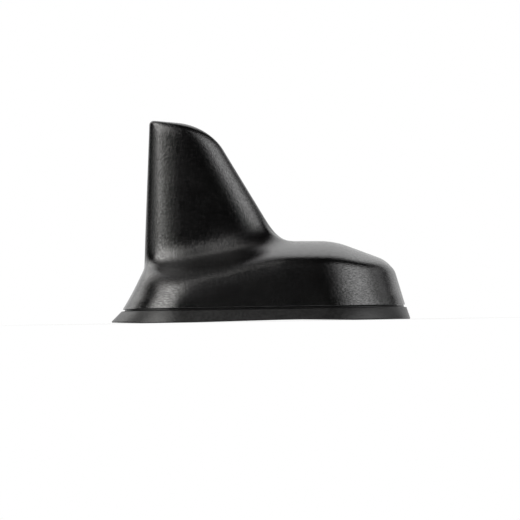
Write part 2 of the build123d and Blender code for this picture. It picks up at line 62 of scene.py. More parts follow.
# %% [markdown]
# ## The cover's skin, read by rays
#
# The cover is one smooth moulding, and its shine shows every facet. The CAD node is a net of
# triangles of all shapes, so a regular net of quads is laid over it instead. It could be drawn
# from formulas again, but then the two could drift apart. Here rays find the skin, and each
# place they find is lifted a few hundredths of a millimetre onto the curve that the normals show.

# %% Read a CAD node as triangles with their normals
CURVE_SHARE = 0.75
LIFT_MOST = 0.03 * MM
TINY, TINY_AREA = 1e-12, 1e-30


class NodeSkin:
    """A CAD node's triangles, which rays can hit, with the smooth normals of their corners."""

    def __init__(self, name):
        mesh = frame["nodes"][name].data
        mesh.calc_loop_triangles()
        self.points = np.array([v.co for v in mesh.vertices])
        self.triangles = np.array([t.vertices for t in mesh.loop_triangles])
        loops = np.array([t.loops for t in mesh.loop_triangles])
        self.normals = np.array([n.vector for n in mesh.corner_normals])[loops]
        self.tree = BVHTree.FromPolygons(self.points.tolist(), self.triangles.tolist())

    def hit(self, origin, direction):
        """The first point that a ray meets, and its triangle, or None."""
        place, _, index, _ = self.tree.ray_cast(origin, direction)
        return None if place is None else (np.array(place), index)

    def rounded(self, places, indices):
        """The places lifted from flat triangles onto the curved skin that their normals show."""
        corners = self.points[self.triangles[indices]]
        normals = self.normals[indices]
        first, second = corners[:, 1] - corners[:, 0], corners[:, 2] - corners[:, 0]
        across = places - corners[:, 0]
        d11, d12 = np.sum(first * first, 1), np.sum(first * second, 1)
        d22 = np.sum(second * second, 1)
        e1, e2 = np.sum(across * first, 1), np.sum(across * second, 1)
        area = np.maximum(d11 * d22 - d12 * d12, TINY_AREA)
        v, w = (d22 * e1 - d12 * e2) / area, (d11 * e2 - d12 * e1) / area
        shares = np.clip(np.stack([1 - v - w, v, w], 1), 0, 1)
        shares /= shares.sum(1, keepdims=True)
        gaps = np.sum((places[:, None] - corners) * normals, 2, keepdims=True)
        lift = -CURVE_SHARE * np.sum(shares[:, :, None] * gaps * normals, 1)
        length = np.linalg.norm(lift, axis=1, keepdims=True)
        return places + lift * np.minimum(1, LIFT_MOST / np.maximum(length, TINY))


cover_skin = NodeSkin("fin_cover")
print("cover triangles read:", len(cover_skin.triangles))

# %% [markdown]
# ## Columns of the net
#
# The hood is long with round ends, and a plain grid would pinch there. So each column of the
# net is an upright plane that starts from a spine under the fin. The planes stand square to the
# spine along its length and fan out round its two ends. Only one side is laid out, because the
# other is its mirror image.

# %% Lay out the columns of the net
SPINE_REAR, SPINE_FRONT = -36.0 * MM, 23.0 * MM
REAR_FAN, MIDDLE, FRONT_FAN = 62, 84, 62


def net_columns():
    """Start point on the spine and direction in plan of each column, from the tail to the nose."""
    quarter = math.pi / 2
    columns = []
    for i in range(REAR_FAN):
        columns.append((SPINE_REAR, math.pi - quarter * i / REAR_FAN))
    for i in range(MIDDLE):
        columns.append((SPINE_REAR + (SPINE_FRONT - SPINE_REAR) * i / MIDDLE, quarter))
    for i in range(FRONT_FAN + 1):
        columns.append((SPINE_FRONT, quarter - quarter * i / FRONT_FAN))
    return columns


columns = net_columns()
print("columns on each side:", len(columns))

# %% [markdown]
# ## One column, from the rim to the crest
#
# In each plane, rays from outside look towards a point inside the hood. Even angles would leave
# few points on the steep fin, so where two neighbours land far apart, another ray is shot between
# them. The line starts just above the rim, which gets a rounded edge of its own later.

# %% Follow one column up the skin
HEART_HEIGHT = 11.0 * MM
RAY_LENGTH = 0.3
SAMPLE_STEP = 0.35 * MM
FIRST_LOOKS = 90
REFINE_PASSES = 12
GAP_EXTRA = 0.15 * MM
RIM_START = 0.55 * MM


def section(skin, start_x, turn, low_z):
    """Points of the skin in one upright half-plane, from low_z up to the crest over the spine."""
    heart = np.array([start_x, 0.0, HEART_HEIGHT])
    outward = np.array([math.cos(turn), math.sin(turn), 0.0])

    def look(angle):
        aim = outward * math.cos(angle) + np.array([0.0, 0.0, math.sin(angle)])
        return skin.hit((heart + aim * RAY_LENGTH).tolist(), (-aim).tolist())

    foot = np.array([start_x, 0.0, low_z]) + outward * RAY_LENGTH
    reach = (skin.hit(foot.tolist(), (-outward).tolist())[0] - heart) @ outward
    angles = list(np.linspace(math.atan2(low_z - HEART_HEIGHT, reach), math.pi / 2, FIRST_LOOKS))
    found = [look(a) for a in angles]
    for _ in range(REFINE_PASSES):
        steps = [np.linalg.norm(b[0] - a[0]) for a, b in zip(found, found[1:])]
        for i in reversed([i for i, step in enumerate(steps) if step > SAMPLE_STEP]):
            middle = (angles[i] + angles[i + 1]) / 2
            angles.insert(i + 1, middle)
            found.insert(i + 1, look(middle))
    return skin.rounded(np.array([h[0] for h in found]), np.array([h[1] for h in found]))


cover_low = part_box("fin_cover")[0]
rim_z = cover_low.z + GAP_EXTRA
lines = [section(cover_skin, x, turn, rim_z + RIM_START) for x, turn in columns]
print("points in the longest column:", max(len(line) for line in lines))

# %% [markdown]
# ## Ease the tail
#
# Low on its tail, the real moulding is half a millimetre slimmer than the solid. Moving single
# points would leave a dent in the shine, so the whole tail shifts, most at one place and softly
# less away from it. How far the rim reaches is noted first, because the gasket's bead needs it.

# %% Ease the skin by fractions of a millimetre
EASE_CENTRE = (-50.0, 12.0)
EASE_REACH = (8.0, 10.0)
EASE_SHIFT = 0.55


def eased(line):
    """The line with its tail moved forward. Centre, reach and shift are in millimetres, in side view."""
    off_x = (line[:, 0] / MM - EASE_CENTRE[0]) / EASE_REACH[0]
    off_z = (line[:, 2] / MM - EASE_CENTRE[1]) / EASE_REACH[1]
    moved = line.copy()
    moved[:, 0] += np.exp(-off_x ** 2 - off_z ** 2) * EASE_SHIFT * MM
    return moved


rim_reach = [np.hypot(line[0, 0] - x, line[0, 1]) for line, (x, _) in zip(lines, columns)]
lines = [eased(line) for line in lines]
print("tail of the cover in mm:", round(min(line[:, 0].min() for line in lines) / MM, 2))

# %% [markdown]
# ## Rows that crowd where the skin turns
#
# Each column now has its own number of points. Spacing them evenly would leave the fin's narrow
# top edge angular, so the rows crowd where the line bends. The crowding is evened out between
# neighbouring columns, which keeps the quads from twisting.

# %% Space the rows
ROWS = 176
FINE = 600
BEND_GAIN = 2.2 * MM
LINE_BLUR, CROWD_BLUR, COLUMN_BLUR = 4, 8, 4


def along(line):
    """Distance along a line of points."""
    return np.concatenate([[0.0], np.cumsum(np.linalg.norm(np.diff(line, axis=0), axis=1))])


def resample(line, shares):
    """The line's points at these shares of its length."""
    run = along(line)
    return np.stack([np.interp(shares * run[-1], run, line[:, k]) for k in range(3)], 1)


def blur(values, width, axis):
    """A soft average over neighbours, with the ends repeated."""
    kernel = np.exp(-0.5 * (np.arange(-2 * width, 2 * width + 1) / width) ** 2)
    kernel = kernel / kernel.sum()
    pad = [(0, 0)] * values.ndim
    pad[axis] = (2 * width, 2 * width)
    padded = np.pad(values, pad, mode="edge")
    return np.apply_along_axis(lambda v: np.convolve(v, kernel, "valid"), axis, padded)


def row_shares(lines):
    """For each column, where along its length the rows fall."""
    even = np.linspace(0, 1, FINE)
    crowd = []
    for line in lines:
        fine = blur(resample(line, even), LINE_BLUR, 0)
        run = along(line)[-1]
        step = np.diff(fine, axis=0)
        step /= np.linalg.norm(step, axis=1, keepdims=True)
        turn = np.arccos(np.clip(np.sum(step[1:] * step[:-1], 1), -1, 1)) / (run / FINE)
        crowd.append(1 + BEND_GAIN * np.pad(turn, 1, mode="edge"))
    crowd = blur(blur(np.array(crowd), CROWD_BLUR, 1), COLUMN_BLUR, 0)
    shares = []
    for weight in crowd:
        total = np.concatenate([[0.0], np.cumsum((weight[1:] + weight[:-1]) / 2)])
        shares.append(np.interp(np.linspace(0, 1, ROWS), total / total[-1], even))
    return shares


half_net = np.array([resample(line, share) for line, share in zip(lines, row_shares(lines))])
half_net[[0, -1], :, 1] = 0.0
half_net[:, -1, 1] = 0.0
print("half net:", half_net.shape)

# %% [markdown]
# ## Even out the facets
#
# The half net is mirrored into a closed ring. A few light passes of averaging take out what is
# left of the CAD facets. Many more passes act only on the flanks and at the foot of the fin, where
# the real moulding flows from one form into the next. Averaging everywhere would shrink the part,
# so the crest is held, but for the foot of the fin.

# %% Mirror the net and even it out
SMOOTH_PASSES, FLOW_PASSES = 3, 120
SMOOTH_SHARE = 0.5
FLOW_SIDE = (1.5 * MM, 5.0 * MM)
FLOW_HEIGHT = (8.0 * MM, 12.0 * MM)
FOOT_X, FOOT_Z, FOOT_REACH, FOOT_FLOW = 6.5 * MM, 31.0 * MM, 7.0 * MM, 0.4


def mirrored(half):
    """The whole ring of columns, from the half with positive y."""
    other = half[-2:0:-1].copy()
    other[:, :, 1] *= -1
    return np.concatenate([half, other])


def ramp(values, low, high):
    """A soft step from 0 at low to 1 at high."""
    t = np.clip((values - low) / (high - low), 0, 1)
    return t * t * (3 - 2 * t)


def soften(net):
    """The net without its CAD facets, its flanks flowing into the hood."""
    net = net.copy()
    flow = ramp(np.abs(net[..., 1]), *FLOW_SIDE) * ramp(net[..., 2], *FLOW_HEIGHT)
    off_x, off_z = (net[..., 0] - FOOT_X) / FOOT_REACH, (net[..., 2] - FOOT_Z) / FOOT_REACH
    flow = np.maximum(flow, FOOT_FLOW * np.exp(-off_x ** 2 - off_z ** 2))
    mirror = -np.arange(len(net)) % len(net)
    for k in range(SMOOTH_PASSES + FLOW_PASSES):
        inner = net[:, 1:]
        sides = (np.roll(inner, 1, 0) + np.roll(inner, -1, 0)) / 2
        beyond = np.concatenate([net[:, 2:], net[mirror, -2:-1]], 1)
        rows = (net[:, :-1] + beyond) / 2
        where = np.ones(inner.shape[:2]) if k < SMOOTH_PASSES else flow[:, 1:]
        share = SMOOTH_SHARE * where
        share[:, -1] *= flow[:, -1]
        net[:, 1:] += share[..., None] * ((sides + rows) / 2 - inner)
    return net


whole_net = mirrored(half_net)
cover_net = soften(whole_net)
moved = np.linalg.norm(cover_net - whole_net, axis=2).max()
print("whole net:", whole_net.shape, "largest move in mm:", round(moved / MM, 2))

# %% [markdown]
# ## The rim
#
# A moulded edge is never sharp. The skin is carried on down along its own draft, turned under by
# a small round and closed by a flat underside as wide as the wall. A bevel could do the same, but
# the rows here also let the rim drop a little at the tail, where the real gap closes up.

# %% Carry the skin down to a rounded rim
WALL = 2.4 * MM
RIM_ROUND, RIM_BAND, RIM_STEPS = 0.2 * MM, 0.06 * MM, 5
DRAFT_ROW = 3
TAIL_GAP_EXTRA = -0.25 * MM
TAIL_GAP_X = (-54.0 * MM, -44.0 * MM)


def net_normals(net):
    """Outward normals of a closed ring of columns."""
    around = np.roll(net, -1, 0) - np.roll(net, 1, 0)
    upward = np.gradient(net, axis=1)
    normals = np.cross(upward, around)
    length = np.linalg.norm(normals, axis=2, keepdims=True)
    normals = np.where(length > TINY, normals / np.maximum(length, TINY), (0.0, 0.0, 1.0))
    normals[:, -1] = (0.0, 0.0, 1.0)
    return normals


def rim_rows(net, normals):
    """The skin carried down to the rim, its rounded edge and its flat underside."""
    flat = normals[:, 0] * (1, 1, 0)
    flat /= np.linalg.norm(flat, axis=1, keepdims=True)
    drop = net[:, 0] - net[:, DRAFT_ROW]
    drop /= np.abs(drop[:, 2:])
    gap = TAIL_GAP_EXTRA + (GAP_EXTRA - TAIL_GAP_EXTRA) * ramp(net[:, :1, 0], *TAIL_GAP_X)
    edge = net[:, 0] + drop * (net[:, :1, 2] - cover_low.z - gap - RIM_ROUND)
    centre = edge - flat * RIM_ROUND
    rows = [edge - drop * RIM_BAND, edge]
    for k in range(1, RIM_STEPS + 1):
        turn = math.pi / 2 * k / RIM_STEPS
        down = np.array([0.0, 0.0, -RIM_ROUND * math.sin(turn)])
        rows.append(centre + flat * RIM_ROUND * math.cos(turn) + down)
    rows.append(rows[-1] - flat * (WALL - RIM_ROUND))
    return rows


cover_normals = net_normals(cover_net)
cover_rim = rim_rows(cover_net, cover_normals)
print("rows in the rim:", len(cover_rim))

# %% [markdown]
# ## Close the cover
#
# An inner wall makes the cover a real shell, as the moulding is. A Solidify modifier would do it
# too, but it would double all the rows. The inner wall can't be seen, so here it has far fewer.
# Inner wall, rim and skin are one tube of rows, and the points that meet on the crest are welded.

# %% Build the cover as one closed shell
INNER_STRIDE = 7
COVER_WELD = 0.02 * MM
SLIVER_PART = 10


def add_mesh_piece(name, points, faces):
    """A smooth-shaded mesh object at the origin."""
    mesh = bpy.data.meshes.new(name)
    mesh.from_pydata([tuple(p) for p in points], [], faces)
    mesh.polygons.foreach_set("use_smooth", [True] * len(mesh.polygons))
    piece = bpy.data.objects.new(name, mesh)
    bpy.context.scene.collection.objects.link(piece)
    return piece


def merge_points(piece, distance):
    """Welds the points that meet, such as those at the net's poles and along its crest."""
    shape = bmesh.new()
    shape.from_mesh(piece.data)
    bmesh.ops.remove_doubles(shape, verts=shape.verts, dist=distance)
    bmesh.ops.dissolve_degenerate(shape, edges=shape.edges, dist=distance / SLIVER_PART)
    shape.to_mesh(piece.data)
    open_edges = sum(1 for edge in shape.edges if not edge.is_manifold)
    shape.free()
    print(piece.name, "faces:", len(piece.data.polygons), "open edges:", open_edges)


def shell(net, normals, rim):
    """Points and faces of the cover: inner wall, rim and skin as one tube of rows."""
    picked = list(range(INNER_STRIDE * 2, ROWS - 1, INNER_STRIDE)) + [ROWS - 1]
    inner = [net[:, k] - normals[:, k] * WALL for k in picked]
    rows = inner[::-1] + rim[::-1] + [net[:, k] for k in range(ROWS)]
    count = len(net)
    faces = []
    for r in range(len(rows) - 1):
        low, high = r * count, (r + 1) * count
        for c in range(count):
            after = (c + 1) % count
            faces.append((low + c, high + c, high + after, low + after))
    return np.concatenate(rows), faces


cover = add_mesh_piece("cover_shell", *shell(cover_net, cover_normals, cover_rim))
merge_points(cover, COVER_WELD)
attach(cover, BODY)
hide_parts("fin_cover")

# %% [markdown]
# ## The gasket
#
# The rubber follows the cover's rim, so it takes the same columns. A level ray in each column
# crosses its walls: the inner wall, two sealing grooves below, and the flared foot. The lip is
# read higher up. Reading the solid keeps the new piece true to it.

# %% Read the gasket's walls
gasket_skin = NodeSkin("roof_gasket")
gasket_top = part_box("roof_gasket")[1].z
FOOT_LEVEL = 0.25 * MM
LIP_LEVEL = gasket_top - 0.05 * MM
RAY_SKIP = 1e-6


def walls(skin, start_x, turn, level):
    """Distances from the spine at which a level ray crosses the node's walls."""
    outward = np.array([math.cos(turn), math.sin(turn), 0.0])
    origin = np.array([start_x, 0.0, level])
    found = []
    hit = skin.hit(origin.tolist(), outward.tolist())
    while hit:
        found.append((hit[0] - origin) @ outward)
        hit = skin.hit((origin + outward * (found[-1] + RAY_SKIP)).tolist(), outward.tolist())
    return found


low_walls = [walls(gasket_skin, x, turn, FOOT_LEVEL) for x, turn in columns]
lip_walls = [walls(gasket_skin, x, turn, LIP_LEVEL)[-1] for x, turn in columns]
print("walls in a column:", {len(w) for w in low_walls})

# %% [markdown]
# ## The gasket's section
#
# Moulded rubber has no sharp corner, so each corner of the section becomes a short curve. A low
# bead on top stands just inside the cover's rim and keeps daylight out of the gap, which is why
# the parting line on the real aerial is black.

# %% Draw the gasket's section
GROOVE_DEPTH = 1.0 * MM
FOOT_EDGE = 0.5 * MM
LIP_DROP = 0.12 * MM
BEAD_WIDTH, BEAD_HEIGHT = 1.0 * MM, 0.7 * MM
SMALL_ROUND, FAIR_ROUND = 0.15 * MM, 0.25 * MM
CORNER_STEPS = 4


def gasket_corners(low, lip, bead):
    """Corners of the section as distance, height and round, from the inner wall outwards and back."""
    inner, far_in, far_out, near_in, near_out, foot = low
    corners = [(inner, 0.0, FAIR_ROUND)]
    outline = []
    for start, end in ((far_in, far_out), (near_in, near_out)):
        outline += [(start, 0.0), (start, GROOVE_DEPTH), (end, GROOVE_DEPTH), (end, 0.0)]
    corners += [(r, z, SMALL_ROUND) for r, z in outline]
    corners.append((foot, 0.0, FAIR_ROUND))
    height = gasket_top + BEAD_HEIGHT
    outline = [(foot, FOOT_EDGE), (lip, gasket_top - LIP_DROP), (bead, gasket_top), (bead, height)]
    outline += [(bead - BEAD_WIDTH, height), (bead - BEAD_WIDTH, gasket_top)]
    corners += [(r, z, SMALL_ROUND) for r, z in outline]
    return corners + [(inner, gasket_top, FAIR_ROUND)]


def rounded_section(corners):
    """The section's line, with a short curve at each corner."""
    line = []
    for k, (r, z, bend) in enumerate(corners):
        here = np.array([r, z])
        before = np.array(corners[k - 1][:2]) - here
        after = np.array(corners[(k + 1) % len(corners)][:2]) - here
        first = here + before / np.linalg.norm(before) * bend
        last = here + after / np.linalg.norm(after) * bend
        for t in np.linspace(0, 1, CORNER_STEPS):
            line.append(first * (1 - t) ** 2 + here * 2 * t * (1 - t) + last * t ** 2)
    return np.array(line)


tail_corners = gasket_corners(low_walls[0], lip_walls[0], rim_reach[0])
print("points in the gasket's section:", len(rounded_section(tail_corners)))

# %% [markdown]
# ## The gasket's ring
#
# Every column's section is set in place and joined to its neighbour, and the last joins the first.
# The foot arches a little so that it can follow a curved roof, and the tail tucks in under the
# cover. Both change only along the length, so short tables of stations are enough.

# %% Build the gasket
BEAD_INSET, BEAD_END_INSET = 1.0 * MM, 0.4 * MM
ARCH_X = [-56 * MM, -44 * MM, -24 * MM, 8 * MM, 16 * MM, 35 * MM]
ARCH_LIFT = [0.4 * MM, 0.0, 0.0, 0.45 * MM, 0.45 * MM, 0.0]
TAIL_X = [-56 * MM, -51.5 * MM, -42 * MM]
TAIL_SHIFT = [0.9 * MM, 0.35 * MM, 0.0]
GASKET_WELD = 0.002 * MM


def gasket_ring():
    """Every column's section in place, with the foot's arch."""
    rows = []
    for (start_x, turn), low, lip, rim in zip(columns, low_walls, lip_walls, rim_reach):
        inset = BEAD_INSET + (BEAD_END_INSET - BEAD_INSET) * abs(math.cos(turn))
        flat = rounded_section(gasket_corners(low, lip, rim - inset))
        x = start_x + flat[:, 0] * math.cos(turn)
        y = flat[:, 0] * math.sin(turn)
        lift = np.interp(x, ARCH_X, ARCH_LIFT) * np.clip(1 - flat[:, 1] / gasket_top, 0, 1)
        rows.append(np.stack([x + np.interp(x, TAIL_X, TAIL_SHIFT), y, flat[:, 1] + lift], 1))
    half = np.array(rows)
    half[[0, -1], :, 1] = 0.0
    return mirrored(half)


def ring_faces(around, along_section):
    """Quads of a closed ring of closed sections."""
    faces = []
    for c in range(around):
        after = (c + 1) % around * along_section
        here = c * along_section
        for k in range(along_section):
            up = (k + 1) % along_section
            faces.append((here + k, after + k, after + up, here + up))
    return faces


ring = gasket_ring()
gasket = add_mesh_piece("gasket_skirt", ring.reshape(-1, 3), ring_faces(*ring.shape[:2]))
merge_points(gasket, GASKET_WELD)
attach(gasket, BODY)
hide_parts("roof_gasket")

# %% [markdown]
# ## Finishes
#
# Every finish is a Principled shader with a procedural bump, read in Object coordinates, so the
# same grain lies on every copy of the part. Image textures would need UV maps and files, and these
# need neither. A few helpers keep the node trees short.

# %% Helpers for the finishes
NOISE_RANGE = (0.3, 0.7)
GRAIN_ROUGHNESS = 0.55


def new_finish(name):
    """A material, its nodes, its links and its Principled shader."""
    material = bpy.data.materials.new(name)
    material.use_nodes = True
    nodes, links = material.node_tree.nodes, material.node_tree.links
    return material, nodes, links, nodes["Principled BSDF"]


def in_millimetres(nodes, links, squeeze=(1, 1, 1)):
    """Object coordinates in millimetres, squeezed along each axis."""
    place = nodes.new("ShaderNodeTexCoord")
    turn = nodes.new("ShaderNodeMapping")
    turn.inputs["Scale"].default_value = [s / MM for s in squeeze]
    links.new(place.outputs["Object"], turn.inputs["Vector"])
    return turn.outputs["Vector"]


def object_grain(nodes, links, scale, detail, squeeze=(1, 1, 1)):
    """A noise in Object coordinates. The scale is in grains a millimetre."""
    noise = nodes.new("ShaderNodeTexNoise")
    noise.inputs["Scale"].default_value = scale
    noise.inputs["Detail"].default_value = detail
    noise.inputs["Roughness"].default_value = GRAIN_ROUGHNESS
    links.new(in_millimetres(nodes, links, squeeze), noise.inputs["Vector"])
    return noise.outputs["Fac"]


def spread(nodes, links, value, low, high, to_low, to_high):
    """Maps a value's range onto another, clamped."""
    remap = nodes.new("ShaderNodeMapRange")
    remap.inputs["From Min"].default_value = low
    remap.inputs["From Max"].default_value = high
    remap.inputs["To Min"].default_value = to_low
    remap.inputs["To Max"].default_value = to_high
    links.new(value, remap.inputs["Value"])
    return remap.outputs["Result"]


def object_height(nodes, links):
    """Height above the roof, in metres."""
    place = nodes.new("ShaderNodeTexCoord")
    split = nodes.new("ShaderNodeSeparateXYZ")
    links.new(place.outputs["Object"], split.inputs["Vector"])
    return split.outputs["Z"]


def add_bump(nodes, links, shader, height, depth):
    """Dents the shader's normal by a height from 0 to 1, over a depth in metres."""
    bump = nodes.new("ShaderNodeBump")
    bump.inputs["Strength"].default_value = 1.0
    bump.inputs["Distance"].default_value = depth
    links.new(height, bump.inputs["Height"])
    links.new(bump.outputs["Normal"], shader.inputs["Normal"])


def tint(nodes, links, shader, value, dark, light):
    """Colours the shader between two colours by a value from 0 to 1."""
    mix = nodes.new("ShaderNodeMix")
    mix.data_type = "RGBA"
    mix.inputs["A"].default_value = (*dark, 1)
    mix.inputs["B"].default_value = (*light, 1)
    links.new(value, mix.inputs["Factor"])
    links.new(mix.outputs["Result"], shader.inputs["Base Color"])


def dress(piece, material):
    """Puts one material on all of a piece."""
    piece.data.materials.clear()
    piece.data.materials.append(material)


slots = {row["node"]: row["material_slot"] for row in frame["record"]["subparts"]}
print("slots to finish:", len(set(slots.values())))

# %% [markdown]
# ## Satin black cover
#
# The cover is dyed black all through, so nearly all that is seen of it is sheen. A fine leather
# grain breaks that sheen up: streaks run down the fin and along the hood, over a finer pebble. A
# bump alone looks too even, so the grain's pits also shine less than its ridges. The colour and
# the gloss drift slowly over the part, as on a moulding that has been handled.

# %% Satin black cover with a fine moulded grain
COVER_DETAIL = 2
PEBBLE_SCALE, PEBBLE_SHARE = 2.6, 0.3
FIN_STREAK_SCALE, FIN_STREAK = 2.8, (1, 1, 0.35)
HOOD_STREAK_SCALE, HOOD_STREAK = 2.0, (0.45, 0.45, 1.6)
FIN_GRAIN_LOW, FIN_GRAIN_HIGH = 22 * MM, 28 * MM
COVER_GRAIN_DEPTH = 0.115 * MM
PATCH_SCALE = 0.12
COVER_ROUGHNESS = (0.165, 0.2)
PIT_RANGE, PIT_SHINE, MEAN_SHINE = (0.36, 0.64), (0.45, 1.15), 0.8
COVER_DARK, COVER_LIGHT = (0.0013, 0.0013, 0.0014), (0.0021, 0.0021, 0.0021)


def satin_cover():
    """Black moulding: streaks run down the fin and along the hood, over a finer pebble."""
    material, nodes, links, shader = new_finish("satin black moulding")
    pebble = object_grain(nodes, links, PEBBLE_SCALE, COVER_DETAIL)
    streak_up = object_grain(nodes, links, FIN_STREAK_SCALE, COVER_DETAIL, FIN_STREAK)
    streak_along = object_grain(nodes, links, HOOD_STREAK_SCALE, COVER_DETAIL, HOOD_STREAK)
    height = object_height(nodes, links)
    streak = nodes.new("ShaderNodeMix")
    links.new(spread(nodes, links, height, FIN_GRAIN_LOW, FIN_GRAIN_HIGH, 0, 1), streak.inputs["Factor"])
    links.new(streak_along, streak.inputs["A"])
    links.new(streak_up, streak.inputs["B"])
    grain = nodes.new("ShaderNodeMix")
    grain.inputs["Factor"].default_value = PEBBLE_SHARE
    links.new(streak.outputs["Result"], grain.inputs["A"])
    links.new(pebble, grain.inputs["B"])
    add_bump(nodes, links, shader, grain.outputs["Result"], COVER_GRAIN_DEPTH)
    pits = spread(nodes, links, grain.outputs["Result"], *PIT_RANGE, *PIT_SHINE)
    shader.inputs["Specular IOR Level"].default_value = MEAN_SHINE
    links.new(pits, shader.inputs["Specular IOR Level"])
    patches = object_grain(nodes, links, PATCH_SCALE, COVER_DETAIL)
    gloss = spread(nodes, links, patches, *NOISE_RANGE, *COVER_ROUGHNESS)
    links.new(gloss, shader.inputs["Roughness"])
    tint(nodes, links, shader, patches, COVER_DARK, COVER_LIGHT)
    return material


dress(cover, satin_cover())
print("cover finish nodes:", len(cover.data.materials[0].node_tree.nodes))

# %% [markdown]
# ## Boards
#
# A circuit board is a glass cloth in resin under green solder mask. Its weave shows through as
# faint dents, so two waves at right angles, multiplied, make the bump. The mask's colour clouds a
# little where it lies thicker.

# %% Green board laminate
WEAVE_SCALE, WEAVE_DEPTH = 0.5, 0.03 * MM
CLOUD_SCALE, CLOUD_DETAIL = 0.25, 4
MASK_DARK, MASK_LIGHT = (0.012, 0.1, 0.045), (0.03, 0.2, 0.09)
MASK_ROUGHNESS = (0.26, 0.4)


def laminate():
    """Green solder mask over the weave of a glass cloth."""
    material, nodes, links, shader = new_finish("board laminate")
    cloud = object_grain(nodes, links, CLOUD_SCALE, CLOUD_DETAIL)
    tint(nodes, links, shader, cloud, MASK_DARK, MASK_LIGHT)
    gloss = spread(nodes, links, cloud, *NOISE_RANGE, *MASK_ROUGHNESS)
    links.new(gloss, shader.inputs["Roughness"])
    place = in_millimetres(nodes, links)
    weave = nodes.new("ShaderNodeMath")
    weave.operation = "MULTIPLY"
    for k, direction in enumerate(("X", "Y")):
        thread = nodes.new("ShaderNodeTexWave")
        thread.bands_direction = direction
        thread.inputs["Scale"].default_value = WEAVE_SCALE
        links.new(place, thread.inputs["Vector"])
        links.new(thread.outputs["Fac"], weave.inputs[k])
    add_bump(nodes, links, shader, weave.outputs["Value"], WEAVE_DEPTH)
    return material


board_finish = laminate()
print("board finish nodes:", len(board_finish.node_tree.nodes))

# %% [markdown]
# ## Rubber, metal, ceramic and the rest
#
# The other finishes differ in colour, gloss and the size of their grain, but all are made alike:
# one grain drives colour, roughness and bump together, because on a real surface the same dents
# change all three. So one function serves, with a row of numbers for each finish. A squeezed
# grain gives the direction of rolled metal or felt.

# %% Finishes of the other pieces
GRAIN_DETAIL = 5


def grained(name, dark, light, scale, rough, depth, metal=0.0, squeeze=(1, 1, 1)):
    """Dark and light colour, grains a millimetre, range of roughness and depth of the dents."""
    material, nodes, links, shader = new_finish(name)
    grain = object_grain(nodes, links, scale, GRAIN_DETAIL, squeeze)
    tint(nodes, links, shader, spread(nodes, links, grain, *NOISE_RANGE, 0, 1), dark, light)
    links.new(spread(nodes, links, grain, *NOISE_RANGE, *rough), shader.inputs["Roughness"])
    add_bump(nodes, links, shader, grain, depth)
    shader.inputs["Metallic"].default_value = metal
    return material


finishes = {
    "gasket_rubber": grained("gasket rubber", (0.003, 0.003, 0.0032), (0.0105, 0.0105, 0.0108),
                             0.9, (0.32, 0.42), 0.09 * MM),
    "base_casting": grained("black coated casting", (0.006, 0.006, 0.0062), (0.012, 0.012, 0.012),
                            1.5, (0.5, 0.65), 0.05 * MM),
    "seal_rubber": grained("seal rubber", (0.008, 0.008, 0.008), (0.016, 0.016, 0.016),
                           1.1, (0.55, 0.7), 0.06 * MM),
    "screw_steel": grained("zinc plate", (0.5, 0.51, 0.53), (0.66, 0.66, 0.65),
                           1.4, (0.22, 0.4), 0.02 * MM, 1.0, (1, 1, 3)),
    "vent_membrane": grained("vent felt", (0.72, 0.72, 0.7), (0.86, 0.86, 0.85),
                             5.0, (0.85, 0.95), 0.12 * MM, 0.0, (1, 0.3, 1)),
    "board_laminate": board_finish,
    "adhesive_pad": grained("foam pad", (0.4, 0.4, 0.38), (0.54, 0.54, 0.52),
                            3.0, (0.8, 0.95), 0.2 * MM),
    "ceramic": grained("fired ceramic", (0.46, 0.34, 0.24), (0.6, 0.47, 0.34),
                       2.2, (0.45, 0.65), 0.03 * MM),
    "silver_print": grained("fired silver", (0.68, 0.67, 0.63), (0.84, 0.83, 0.8),
                            2.5, (0.34, 0.52), 0.03 * MM, 1.0),
    "tinned_metal": grained("tin plate", (0.6, 0.6, 0.6), (0.76, 0.76, 0.75),
                            0.8, (0.2, 0.36), 0.015 * MM, 1.0, (1, 0.2, 1)),
    "chip_resin": grained("moulded resin", (0.016, 0.016, 0.017), (0.03, 0.03, 0.032),
                          3.5, (0.5, 0.65), 0.04 * MM),
    "copper_print": grained("printed copper", (0.55, 0.27, 0.14), (0.78, 0.45, 0.26),
                            1.2, (0.26, 0.44), 0.02 * MM, 1.0),
}
dress(gasket, finishes["gasket_rubber"])
for node, slot in slots.items():
    if slot in finishes:
        dress(frame["nodes"][node], finishes[slot])
print("finishes:", len(finishes) + 1)

# %% [markdown]
# ## Screws by Geometry Nodes
#
# Four screws hold the cover from below and four hold the board. They repeat, so one node tree
# makes both sets from their places, with every size as a named input. Copies of one mesh would do,
# but the two sets differ in size. Small helpers add nodes and sums, so the tree reads as a list.

# %% The screw tree and its inputs
SCREW_SIZES = ("Head Radius", "Head Height", "Drive Radius", "Drive Depth",
               "Shank Radius", "Shank Length", "Thread Pitch")
screws = bpy.data.node_groups.new("screw_set", "GeometryNodeTree")
screws.interface.new_socket("Places", in_out="INPUT", socket_type="NodeSocketGeometry")
for size in SCREW_SIZES:
    screws.interface.new_socket(size, in_out="INPUT", socket_type="NodeSocketFloat")
screws.interface.new_socket("Finish", in_out="INPUT", socket_type="NodeSocketMaterial")
screws.interface.new_socket("Screws", in_out="OUTPUT", socket_type="NodeSocketGeometry")
given = screws.nodes.new("NodeGroupInput").outputs


def feed(socket, value):
    """Sets an input to a number, or joins it to another node's output."""
    if isinstance(value, bpy.types.NodeSocket):
        screws.links.new(value, socket)
    else:
        socket.default_value = value


def add_node(kind, settings=None, **wires):
    """A node of the screw tree, with its settings and its inputs."""
    made = screws.nodes.new(kind)
    for name, value in (settings or {}).items():
        setattr(made, name, value)
    for name, value in wires.items():
        feed(made.inputs[name.replace("_", " ")], value)
    return made


